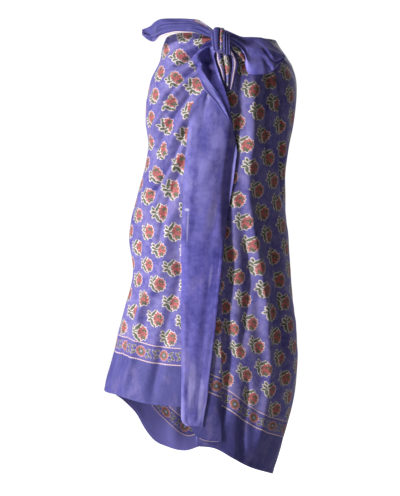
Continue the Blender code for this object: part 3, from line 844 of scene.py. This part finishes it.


# %% [markdown]
# ## Materials
# Everything is one cotton cloth in four finishes: the printed field with its border, the plain
# dyed border and its reverse, and a lighter copy of the plain cloth for the right tie end, whose
# extra paleness is painted light. The sewing thread is a fifth material. A material is a tree of
# nodes. The helper below keeps the trees short: most calls add one node, link what they are
# given, and return the new output.

# %% A short way to build node trees
class Tree:
    """Adds nodes to a material and links them."""

    def __init__(self, name):
        self.material = bpy.data.materials.new(name)
        self.material.use_nodes = True
        self.nodes = self.material.node_tree.nodes
        self.links = self.material.node_tree.links
        self.surface = self.nodes["Principled BSDF"]

    def plug(self, socket, value):
        if isinstance(value, bpy.types.NodeSocket):
            self.links.new(value, socket)
        else:
            socket.default_value = value

    def math(self, operation, *values, clamp=False):
        node = self.nodes.new("ShaderNodeMath")
        node.operation = operation
        node.use_clamp = clamp
        for socket, value in zip(node.inputs, values):
            self.plug(socket, value)
        return node.outputs[0]

    def cloth_point(self):
        """u and v on the flat cloth, in centimetres."""
        uv = self.nodes.new("ShaderNodeUVMap")
        uv.uv_map = "Cloth"
        scale = self.nodes.new("ShaderNodeVectorMath")
        scale.operation = "SCALE"
        self.links.new(uv.outputs[0], scale.inputs[0])
        scale.inputs["Scale"].default_value = 100.0
        return scale.outputs[0], *self.apart(scale.outputs[0])

    def apart(self, point):
        node = self.nodes.new("ShaderNodeSeparateXYZ")
        self.links.new(point, node.inputs[0])
        return node.outputs[0], node.outputs[1]

    def lobes(self, point, count):
        """A wave that rises and falls count times round a point."""
        x, y = self.apart(point)
        angle = self.math("ARCTAN2", y, x)
        return self.math("COSINE", self.math("MULTIPLY", angle, count))

    def bump(self, height, strength, distance, normal=None):
        node = self.nodes.new("ShaderNodeBump")
        node.inputs["Strength"].default_value = strength
        node.inputs["Distance"].default_value = distance
        self.links.new(height, node.inputs["Height"])
        if normal:
            self.links.new(normal, node.inputs["Normal"])
        return node.outputs[0]

    def point(self, x, y):
        node = self.nodes.new("ShaderNodeCombineXYZ")
        self.plug(node.inputs[0], x)
        self.plug(node.inputs[1], y)
        return node.outputs[0]

    def oval(self, point, centre, half, degrees=0.0):
        """How far a point is outside an oval, in centimetres, negative inside."""
        node = self.nodes.new("ShaderNodeMapping")
        node.vector_type = "TEXTURE"
        self.links.new(point, node.inputs["Vector"])
        node.inputs["Location"].default_value = (*centre, 0)
        node.inputs["Rotation"].default_value = (0, 0, np.radians(degrees))
        node.inputs["Scale"].default_value = (*half, 1)
        length = self.nodes.new("ShaderNodeVectorMath")
        length.operation = "LENGTH"
        self.links.new(node.outputs[0], length.inputs[0])
        return self.math("MULTIPLY_ADD", length.outputs["Value"], min(half), -min(half))

    def nearest(self, distances):
        best = distances[0]
        for other in distances[1:]:
            best = self.math("MINIMUM", best, other)
        return best

    def inside(self, distance, edge=0.0, soft=0.05):
        """1 where the distance is below edge, 0 above, with a soft border."""
        return self.math("MULTIPLY_ADD", distance, -1 / soft, edge / soft + 0.5, clamp=True)

    def noise(self, point, scale, detail=3.0, roughness=0.5):
        node = self.nodes.new("ShaderNodeTexNoise")
        self.links.new(point, node.inputs["Vector"])
        node.inputs["Scale"].default_value = scale
        node.inputs["Detail"].default_value = detail
        node.inputs["Roughness"].default_value = roughness
        return node.outputs[0]

    def stretched(self, point, across, along):
        node = self.nodes.new("ShaderNodeMapping")
        self.links.new(point, node.inputs["Vector"])
        node.inputs["Scale"].default_value = (across, along, 1)
        return node.outputs[0]

    def remap(self, value, low, high, to_low=0.0, to_high=1.0):
        node = self.nodes.new("ShaderNodeMapRange")
        for socket, given in zip(node.inputs, (value, low, high, to_low, to_high)):
            self.plug(socket, given)
        return node.outputs[0]

    def mix(self, share, first, second):
        node = self.nodes.new("ShaderNodeMix")
        node.data_type = "RGBA"
        for socket, given in ((0, share), (6, first), (7, second)):
            self.plug(node.inputs[socket], given)
        return node.outputs[2]

    def lay(self, base, over, share, where):
        """Lays a colour over the base by a share, and only where it belongs."""
        return self.mix(self.math("MULTIPLY", share, where), base, over)


def colour(red, green, blue):
    """A colour given as on a screen, 0 to 255, made linear."""
    parts = [c / 255 for c in (red, green, blue)]
    return (*[p / 12.92 if p <= 0.04045 else ((p + 0.055) / 1.055) ** 2.4 for p in parts], 1.0)


# %% [markdown]
# Cotton voile is a plain weave of fine threads, a little uneven, with a faint sheen at grazing
# angles. The threads are bump from two waves across each other, small creases are bump from a
# noise, and the sheen is set on the shader itself.

# %% The cotton itself
def finish_cotton(tree, base, point, x, y, crease=0.25, roughness=0.70, sheen=0.22):
    """Links a base colour to the shader and adds weave, creases, roughness and sheen."""
    threads = tree.math(
        "MULTIPLY",
        tree.math("SINE", tree.math("MULTIPLY", x, 95.0)),
        tree.math("SINE", tree.math("MULTIPLY", y, 95.0)),
    )
    slub = tree.noise(tree.stretched(point, 0.6, 9.0), 3.0)
    weave = tree.math("MULTIPLY_ADD", slub, 0.35, tree.math("MULTIPLY", threads, 0.5))
    creases = tree.noise(tree.stretched(point, 1.0, 0.45), 0.55, 4.0, 0.55)
    surface = tree.surface
    tree.links.new(
        tree.bump(creases, crease, 0.004, tree.bump(weave, 0.12, 0.0003)), surface.inputs["Normal"]
    )
    tree.links.new(base, surface.inputs["Base Color"])
    tree.links.new(
        tree.remap(tree.noise(point, 1.2), 0.3, 0.7, roughness - 0.07, roughness + 0.07),
        surface.inputs["Roughness"],
    )
    surface.inputs["Sheen Weight"].default_value = sheen
    surface.inputs["Sheen Roughness"].default_value = 0.45
    surface.inputs["Sheen Tint"].default_value = colour(190, 185, 240)
    return tree.material


WORN = colour(160, 142, 184)
WORN_SHARE = 0.34


def dyed(tree, point, dark, light, streak):
    """An uneven dye: soft clouds, streaks along the cloth, and paler worn patches."""
    clouds = tree.noise(point, 0.16, 4.0, 0.6)
    blotches = tree.noise(point, 0.75, 3.0, 0.6)
    streaks = tree.noise(tree.stretched(point, 1.0, 0.08), 0.42, 3.0, 0.65)
    share = tree.math("MULTIPLY_ADD", clouds, 0.55, tree.math("MULTIPLY", blotches, 0.45))
    share = tree.math("MULTIPLY_ADD", streaks, streak, share)
    base = tree.mix(tree.remap(share, 0.36 + 0.5 * streak, 0.64 + 0.5 * streak), dark, light)
    rubbed = tree.noise(tree.stretched(point, 1.0, 0.5), 0.24, 5.0, 0.7)
    return tree.mix(tree.remap(rubbed, 0.52, 0.74, 0.0, WORN_SHARE), base, WORN)


# %% [markdown]
# The print is cut in wood blocks and stamped by hand, row by row. One sprig is drawn below from a
# few ovals in a cell of its own: a lobed flower, leaves to its left, and a pale outline where the
# resist paste kept the dye away. Taking u and v modulo the cell repeats it over the cloth, with
# every other row moved by half a repeat. No image is used.

# %% The printed cloth
ROW_HEIGHT = 4.225  # centimetres
REPEAT = 7.50
BORDER_LINES = (9.70, 13.70)  # heights above the hem
ROUNDEL_PITCH = 5.90
PAINTED_LIGHT_SPAN = (-130, -118, -84, -72)  # where along the lower border the plain strip is painted paler: painted light on the inner back layer, which lies in shade below the left panel's hem
UNPRINTED = 180.0  # beyond the cloth's far edge, for the pale selvedge of the tie end
CREAM = colour(214, 200, 196)
CORAL, DEEP_CORAL = colour(226, 150, 143), colour(146, 60, 66)
LEAF, DARK_LEAF = colour(106, 114, 92), colour(50, 56, 48)
GROUND, LIGHT_GROUND = colour(68, 63, 142), colour(124, 116, 176)
LEAVES = (  # centre, half sizes, degrees
    ((-0.52, 0.98), (0.78, 0.33), 52), ((-0.68, -1.00), (0.76, 0.35), -66),
    ((-1.46, 0.28), (0.58, 0.26), -16), ((-1.40, -0.54), (0.56, 0.26), 32),
    ((-1.52, 1.06), (0.46, 0.25), -42), ((0.02, 1.72), (0.44, 0.25), 54),
    ((0.04, -1.78), (0.42, 0.25), -46), ((-0.58, 0.02), (0.70, 0.12), 4),
)
FLOWER_AT = (0.88, 0.0)
FLOWER_HALF = (1.20, 1.56)
FLORETS = 1.75  # to the centimetre


def sprig_field(tree, point, x, y, jitter):
    """Shares of cream, leaf and flower of the repeated sprig."""
    height = tree.math("SUBTRACT", y, BORDER_LINES[1] + 0.15)
    row = tree.math("FLOOR", tree.math("DIVIDE", height, ROW_HEIGHT))
    shift = tree.math("MULTIPLY", tree.math("FLOORED_MODULO", row, 2.0), REPEAT / 2)
    cell_x = tree.math("FLOORED_MODULO", tree.math("ADD", x, shift), REPEAT)
    cell_y = tree.math("FLOORED_MODULO", height, ROW_HEIGHT)
    at = tree.point(
        tree.math("SUBTRACT", cell_x, REPEAT / 2), tree.math("SUBTRACT", cell_y, ROW_HEIGHT / 2)
    )
    leaves = tree.nearest([tree.oval(at, *leaf) for leaf in LEAVES])
    from_flower = tree.nodes.new("ShaderNodeVectorMath")
    from_flower.operation = "SUBTRACT"
    tree.links.new(at, from_flower.inputs[0])
    from_flower.inputs[1].default_value = (*FLOWER_AT, 0)
    away = tree.oval(at, FLOWER_AT, FLOWER_HALF)
    flower = tree.math("MULTIPLY_ADD", tree.lobes(from_flower.outputs[0], 11.0), -0.12, away)
    floret = tree.nodes.new("ShaderNodeTexVoronoi")
    floret.inputs["Scale"].default_value = FLORETS
    floret.inputs["Randomness"].default_value = 0.75
    tree.links.new(at, floret.inputs["Vector"])
    veins = tree.remap(floret.outputs["Distance"], 0.28, 0.44)
    chance = tree.nodes.new("ShaderNodeSeparateColor")
    tree.links.new(floret.outputs["Color"], chance.inputs[0])
    outer = tree.remap(away, -1.0, 0.0, 0.84, 0.58)
    chosen = tree.math("GREATER_THAN", chance.outputs[0], outer)
    buds = tree.math("MULTIPLY", tree.inside(flower), chosen)
    whole = tree.math("MINIMUM", leaves, flower)
    spiky = tree.math("MULTIPLY_ADD", jitter, -0.30, whole)
    cream = tree.inside(spiky, -0.01, 0.07)
    return cream, tree.inside(leaves), tree.inside(flower), veins, buds


def roundels(tree, x, y):
    """The border's round flowers and the curling leaves between them."""
    middle = sum(BORDER_LINES) / 2
    at = tree.point(
        tree.math("SUBTRACT", tree.math("FLOORED_MODULO", x, ROUNDEL_PITCH), ROUNDEL_PITCH / 2),
        tree.math("SUBTRACT", y, middle),
    )
    away = tree.oval(at, (0, 0), (1.18, 1.18))
    scallop = tree.math("MULTIPLY_ADD", tree.lobes(at, 12.0), -0.10, away)
    ring = tree.inside(tree.math("ABSOLUTE", tree.math("ADD", away, 0.64)), 0.24, 0.06)
    eye = tree.inside(away, -0.90, 0.06)
    curls = []
    for side in (-1, 1):
        curls += [
            tree.oval(at, (side * 1.85, side * 0.55), (0.62, 0.24), 35),
            tree.oval(at, (side * 2.35, side * -0.35), (0.70, 0.22), -48),
            tree.oval(at, (side * 1.75, side * -0.95), (0.42, 0.20), 20),
        ]
    return scallop, ring, eye, tree.nearest(curls)


def dotted_line(tree, x, y, at):
    """A narrow line of small pale dots on a deeper thread of colour."""
    off = tree.math("ABSOLUTE", tree.math("SUBTRACT", y, at))
    beat = tree.math("COSINE", tree.math("MULTIPLY", x, 2 * np.pi / 0.42))
    dot = tree.math("MULTIPLY_ADD", beat, -0.045, off)
    return tree.inside(off, 0.17, 0.06), tree.inside(dot, 0.10, 0.05)


def printed_cloth():
    tree = Tree("block_printed_cotton")
    point, x, y = tree.cloth_point()
    jitter = tree.noise(point, 7.5, 2.0, 0.7)
    printing = tree.noise(point, 3.0, 3.0, 0.7)
    base = dyed(tree, point, GROUND, LIGHT_GROUND, 0.15)
    cream, leaf, flower, veins, buds = sprig_field(tree, point, x, y, jitter)
    in_field = tree.math("GREATER_THAN", y, BORDER_LINES[1] + 0.2)
    base = tree.lay(base, CREAM, cream, in_field)
    leaf_colour = tree.mix(tree.remap(printing, 0.32, 0.62), DARK_LEAF, LEAF)
    flower_colour = tree.mix(tree.remap(printing, 0.26, 0.52), DEEP_CORAL, CORAL)
    flower_colour = tree.mix(tree.math("MULTIPLY", veins, 0.85), flower_colour, DEEP_CORAL)
    for over, share in ((leaf_colour, leaf), (flower_colour, flower), (leaf_colour, buds)):
        base = tree.lay(base, over, share, in_field)

    in_border = tree.math(
        "MULTIPLY",
        tree.math("LESS_THAN", y, BORDER_LINES[1]), tree.math("GREATER_THAN", y, BORDER_LINES[0]),
    )
    plain = dyed(tree, point, colour(58, 55, 122), colour(76, 72, 142), 0.20)
    # Painted light: over this span of the back the plain strip is lightened, to stand in for light
    # on the inner layer that lies in shade below the left panel's hem.
    painted_light = tree.math(
        "MULTIPLY",
        tree.remap(x, PAINTED_LIGHT_SPAN[0], PAINTED_LIGHT_SPAN[1]), tree.remap(x, PAINTED_LIGHT_SPAN[3], PAINTED_LIGHT_SPAN[2]),
    )
    plain = tree.mix(painted_light, plain, colour(104, 99, 172))
    base = tree.mix(tree.math("LESS_THAN", y, BORDER_LINES[0]), base, plain)
    scallop, ring, eye, curls = roundels(tree, x, y)
    whole = tree.math("MINIMUM", scallop, tree.math("ADD", curls, 0.05))
    edge = tree.math("MULTIPLY_ADD", jitter, -0.16, whole)
    red = tree.mix(0.30, flower_colour, DEEP_CORAL)
    for over, share in (
        (colour(76, 66, 138), 0.6), (colour(186, 168, 176), tree.inside(edge, 0.03, 0.06)),
        (leaf_colour, tree.inside(curls)), (red, tree.inside(scallop)), (leaf_colour, ring),
        (colour(150, 138, 180), eye),
    ):
        base = tree.lay(base, over, share, in_border)
    for at in BORDER_LINES:
        thread, dots = dotted_line(tree, x, y, at)
        base = tree.mix(thread, base, colour(112, 78, 122))
        base = tree.mix(dots, base, colour(210, 188, 190))
    base = tree.mix(tree.math("GREATER_THAN", y, UNPRINTED), base, CREAM)
    return finish_cotton(tree, base, point, x, y)


# %% [markdown]
# The plain cloth is the same uneven dye without a print. On the hanging end it is paler towards
# both ends, in soft patches, and a few small pale marks are laid on it. A table places those marks.

# %% The plain cloth
PALE_ENDS = ((40, 22), (54, 76))  # centimetres down the hanging end: paleness starts, is full
PALE_MARKS = (  # centre from the hanging end's top left, half sizes, degrees, strength
    ((0.90, 29.6), (0.42, 0.34), 20, 0.60), ((1.15, 33.6), (0.15, 3.8), 0, 0.28),
    ((3.2, 70.5), (1.00, 5.2), 3, 0.15), ((6.6, 75.0), (0.80, 4.6), -3, 0.12),
    ((5.4, 31.0), (0.80, 3.6), 2, 0.12), ((6.2, 45.5), (0.30, 2.6), 4, 0.12),
)


def plain_cloth(name, dark, light, streak, crease, sheen, roughness, pale_ends=None):
    tree = Tree(name)
    point, x, y = tree.cloth_point()
    base = dyed(tree, point, dark, light, streak)
    if pale_ends:
        upper, lower = [tree.remap(y, *reach) for reach in pale_ends]
        cloudy = tree.noise(tree.stretched(point, 1.0, 0.30), 0.40, 4.0, 0.6)
        patches = tree.remap(cloudy, 0.40, 0.58, 0.05, 0.42)
        ends = tree.math("MAXIMUM", upper, lower)
        base = tree.lay(base, colour(148, 142, 204), ends, patches)
        for centre, half, degrees, strength in PALE_MARKS:
            mark = tree.inside(tree.oval(point, centre, half, degrees), 0.0, 0.5 * min(half))
            base = tree.lay(base, colour(206, 200, 222), mark, strength)
    return finish_cotton(tree, base, point, x, y, crease, roughness, sheen)


PRINTED = printed_cloth()
PLAIN = plain_cloth(
    "plain_dyed_cotton", colour(50, 45, 128), colour(95, 88, 173),
    streak=0.45, crease=0.35, sheen=0.20, roughness=0.68, pale_ends=PALE_ENDS,
)
# Painted light: the right tie end gets a much lighter copy of the plain dyed cotton, to stand in
# for light that its face, turned away from the key light, does not get.
PLAIN_PAINTED_LIGHTER = plain_cloth(
    "plain_cotton_painted_lighter", colour(100, 94, 198), colour(150, 143, 228),
    streak=0.35, crease=0.60, sheen=0.25, roughness=0.62,
)
REVERSE = plain_cloth(
    "reverse_of_the_cotton", colour(56, 51, 128), colour(94, 88, 172),
    streak=0.50, crease=0.45, sheen=0.40, roughness=0.50,
)
THREAD = plain_cloth(
    "sewing_thread", colour(104, 98, 170), colour(140, 134, 200),
    streak=0.1, crease=0.1, sheen=0.2, roughness=0.6,
)
print("printed cloth:", len(PRINTED.node_tree.nodes), "nodes")

# %% [markdown]
# The knot and the ends are the same printed cloth, so most pieces share one material. The hems
# are sewn last, because the stitches take their points from the finished sheets.

# %% Put each material on its pieces
for piece in (wrap, pleat, roll, tie_left, knot, *gathers):
    piece.data.materials.append(PRINTED)
band.data.materials.append(PLAIN)
# The right tie end takes the plain cloth's lighter copy, whose extra paleness is painted light.
flap.data.materials.append(PLAIN_PAINTED_LIGHTER)
turned.data.materials.append(REVERSE)

# %% Sew the hems
ABOVE = 0.0003
hem_row = -1 - round(HEM_WIDTH / (HEM_SHARE / HEM_ROWS))
wrap_sewn, band_sewn, turned_sewn, flap_sewn = [
    stitch_line(name, (points + ABOVE * outward(points))[rows, columns], THREAD)
    for name, points, rows, columns in (
        ("wrap_hem_stitches", wrap_points, hem_row, slice(None)),
        ("hanging_end_stitches", band_points, slice(6, -24), -6),
        ("turned_over_stitches", turned_points, slice(16, -4), 5),
        ("right_tie_stitches", flap_points, -5, slice(8, -8)),
    )
]

# %% [markdown]
# ## Ride and replace
# Each new piece rides on the one rigid body and stands for its solid, which is hidden. The table
# also gives the size that each stretch of cloth would have laid flat, which the loop does not use.

PIECES = (  # piece, node, slot, flat size, how it is held, what it rests on, sewn on it
    (wrap, "wrap", "printed_cloth", (1.10, 1.05), "draped", ["knot"], [wrap_sewn]),
    (band, "end_border", "plain_border", (0.115, 0.83), "hung", ["front_pleat"], [band_sewn]),
    (turned, "end_border_turn", "border_reverse", (0.055, 0.22), "folded", ["knot"], [turned_sewn]),
    (pleat, "front_pleat", "printed_cloth", (0.062, 0.92), "hung", ["wrap"], []),
    (tie_left, "tie_end_left", "plain_border", (0.20, 0.045), "hung", ["knot"], []),
    (flap, "tie_end_right", "plain_border", (0.15, 0.075), "hung", ["knot"], [flap_sewn]),
    (roll, "tie_roll", "printed_cloth", (0.065, 0.015), "gathered", ["wrap"], []),
    (gathers[0], "knot_gather_1", "printed_cloth", (0.012, 0.09), "gathered", ["wrap"], []),
    (gathers[1], "knot_gather_2", "printed_cloth", (0.010, 0.10), "gathered", ["wrap"], []),
    (gathers[2], "knot_gather_3", "printed_cloth", (0.012, 0.11), "gathered", ["wrap"], []),
)
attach(knot, "root")
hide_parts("knot")
for piece, node, slot, _, _, _, sewn in PIECES:
    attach(piece, "root")
    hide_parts(node)
    for line in sewn:
        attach(line, "root")

# %% [markdown]
# ## Studio
# A soft key light from the front left models the folds, a small low one lifts the inner layer at
# the hem, and a wide one from behind lights the back. The world and the floor are white only to
# the camera. As a light the world is much dimmer, so that folds keep their shade.

# %% Floor, world and lights
FLOOR_DROP = 1.30


def floor():
    disc = bmesh.new()
    bmesh.ops.create_circle(disc, cap_ends=True, segments=96, radius=14.0)
    mesh = bpy.data.meshes.new("studio_floor")
    disc.to_mesh(mesh)
    disc.free()
    mesh.transform(Matrix.Translation((0, 0, -FLOOR_DROP)))
    made = add_object("studio_floor", mesh)
    paint = bpy.data.materials.new("pale_floor")
    paint.use_nodes = True
    tree = paint.node_tree
    surface = tree.nodes["Principled BSDF"]
    surface.inputs["Base Color"].default_value = (0.80, 0.80, 0.80, 1)
    surface.inputs["Roughness"].default_value = 0.9
    surface.inputs["Emission Color"].default_value = (1, 1, 1, 1)
    seen = tree.nodes.new("ShaderNodeLightPath")
    glow = tree.nodes.new("ShaderNodeMath")
    glow.operation = "MULTIPLY"
    glow.inputs[1].default_value = 0.97
    tree.links.new(seen.outputs["Is Camera Ray"], glow.inputs[0])
    tree.links.new(glow.outputs[0], surface.inputs["Emission Strength"])
    mesh.materials.append(paint)
    return made


def soft_world(seen, light):
    world = bpy.data.worlds.new("white_studio")
    world.use_nodes = True
    tree = world.node_tree
    output, plain = tree.nodes["World Output"], tree.nodes["Background"]
    plain.inputs["Color"].default_value = (1.0, 0.94, 0.80, 1)
    plain.inputs["Strength"].default_value = light
    white = tree.nodes.new("ShaderNodeBackground")
    white.inputs["Color"].default_value = (1, 1, 1, 1)
    white.inputs["Strength"].default_value = seen
    path, mix = tree.nodes.new("ShaderNodeLightPath"), tree.nodes.new("ShaderNodeMixShader")
    tree.links.new(path.outputs["Is Camera Ray"], mix.inputs[0])
    tree.links.new(plain.outputs[0], mix.inputs[1])
    tree.links.new(white.outputs[0], mix.inputs[2])
    tree.links.new(mix.outputs[0], output.inputs["Surface"])
    bpy.context.scene.world = world


def soft_light(name, place, target, size, watts):
    lamp = bpy.data.lights.new(name, "AREA")
    lamp.shape = "DISK"
    lamp.size = size
    lamp.energy = watts
    made = add_object(name, lamp)
    made.location = place
    made.rotation_euler = (Vector(target) - Vector(place)).to_track_quat("-Z", "Y").to_euler()


floor()
soft_world(seen=1.05, light=0.065)
soft_light("key", (-2.3, -1.35, 0.9), (-0.05, 0.0, -0.40), 0.7, 90)
soft_light("low", (-1.9, -1.25, -1.08), (-0.05, 0.1, -0.92), 0.3, 32)
soft_light("from_behind", (2.2, 3.0, 1.4), (0.0, 0.0, -0.4), 1.8, 60)

# %% [markdown]
# The camera stands level with the middle of the cloth, 4.5 m away, with a long lens.

# %% The camera
camera = add_object("camera", bpy.data.cameras.new("camera"))
camera.data.sensor_fit = "VERTICAL"
camera.data.sensor_height = 36.0
camera.data.lens = 133.3
camera.location = (-0.0502, -4.5, -0.497)
camera.rotation_euler = (np.pi / 2, 0, 0)
bpy.context.scene.camera = camera
bpy.context.scene.view_settings.view_transform = "Standard"
